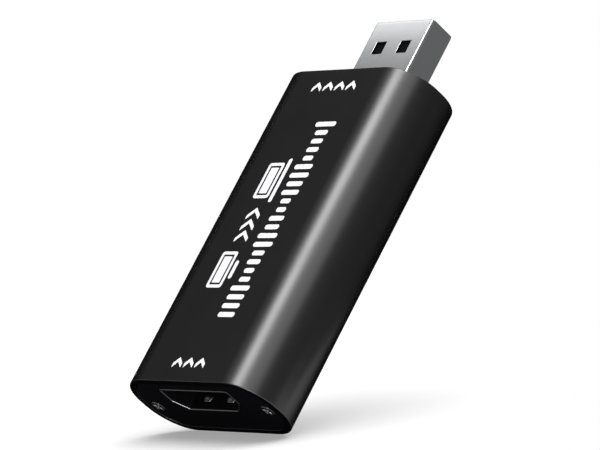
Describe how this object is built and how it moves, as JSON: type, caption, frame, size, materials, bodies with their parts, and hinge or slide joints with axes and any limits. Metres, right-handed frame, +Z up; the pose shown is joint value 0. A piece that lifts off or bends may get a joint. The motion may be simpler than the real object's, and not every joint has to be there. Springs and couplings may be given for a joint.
{
  "type": "video capture adapter",
  "caption": "Stick-shaped video capture adapter: a black oval tube with a video input socket in its end plate and a steel computer plug standing out of the opposite end.",
  "frame": {"origin": "under the middle of the whole length, on the surface that the stick rests on", "axes": "+X across the stick, +Y along it from the input socket towards the output plug, +Z up through its printed face"},
  "size_m": [0.0286, 0.065, 0.0128],
  "materials": {
    "black_metal": "satin black anodised aluminium",
    "plate_black": "matt black moulded plate",
    "screw_steel": "dark plated steel screws",
    "board_green": "green solder mask",
    "socket_steel": "stamped plated steel, dulled",
    "insulator_black": "black moulded insulator",
    "contact_gold": "thin gold plating",
    "plug_steel": "satin nickel-plated steel",
    "chip_black": "black moulding compound",
    "tinned_metal": "tin plating",
    "ceramic_brown": "fired ceramic",
    "ceramic_tan": "tan ceramic",
    "capacitor_yellow": "yellow moulded case",
    "ferrite_grey": "dark grey ferrite"
  },
  "bodies": {
    "stick": {"shell_tube": "black_metal", "input_end_plate": "plate_black", "output_end_plate": "plate_black", "input_plate_screws": "screw_steel", "output_plate_screws": "screw_steel", "circuit_board": "board_green", "input_socket_shell": "socket_steel", "input_socket_insulator": "insulator_black", "input_contacts_upper": "contact_gold", "input_contacts_lower": "contact_gold", "output_plug_shell": "plug_steel", "output_plug_insulator": "insulator_black", "output_plug_contacts": "contact_gold", "capture_chip": "chip_black", "capture_chip_leads": "tinned_metal", "memory_chip": "chip_black", "memory_chip_leads": "tinned_metal", "crystal_base": "ceramic_brown", "crystal_lid": "tinned_metal", "voltage_regulators": "chip_black", "regulator_leads": "tinned_metal", "surge_arrays": "chip_black", "ceramic_capacitors": "ceramic_tan", "capacitor_ends": "tinned_metal", "chip_resistors": "chip_black", "resistor_ends": "tinned_metal", "bulk_capacitors": "capacitor_yellow", "bulk_capacitor_ends": "tinned_metal", "ferrite_bead": "ferrite_grey", "ferrite_bead_ends": "tinned_metal"},
    "upper_left_spring": {"spring_upper_left": "socket_steel"},
    "upper_right_spring": {"spring_upper_right": "socket_steel"},
    "lower_left_spring": {"spring_lower_left": "socket_steel"},
    "lower_right_spring": {"spring_lower_right": "socket_steel"}
  },
  "joints": [
    {"name": "upper_left_flex", "type": "hinge", "parent": "stick", "child": "upper_left_spring", "pos_m": [-0.00245, -0.0259, 0.0102], "axis": [-1, 0, 0], "range_deg": [0, 4.5], "stiffness_Nm_per_rad": 0.1},
    {"name": "upper_right_flex", "type": "hinge", "parent": "stick", "child": "upper_right_spring", "pos_m": [0.00245, -0.0259, 0.0102], "axis": [-1, 0, 0], "range_deg": [0, 4.5], "stiffness_Nm_per_rad": 0.1},
    {"name": "lower_left_flex", "type": "hinge", "parent": "stick", "child": "lower_left_spring", "pos_m": [-0.00245, -0.0259, 0.00535], "axis": [1, 0, 0], "range_deg": [0, 4.5], "stiffness_Nm_per_rad": 0.1},
    {"name": "lower_right_flex", "type": "hinge", "parent": "stick", "child": "lower_right_spring", "pos_m": [0.00245, -0.0259, 0.00535], "axis": [1, 0, 0], "range_deg": [0, 4.5], "stiffness_Nm_per_rad": 0.1}
  ]
}
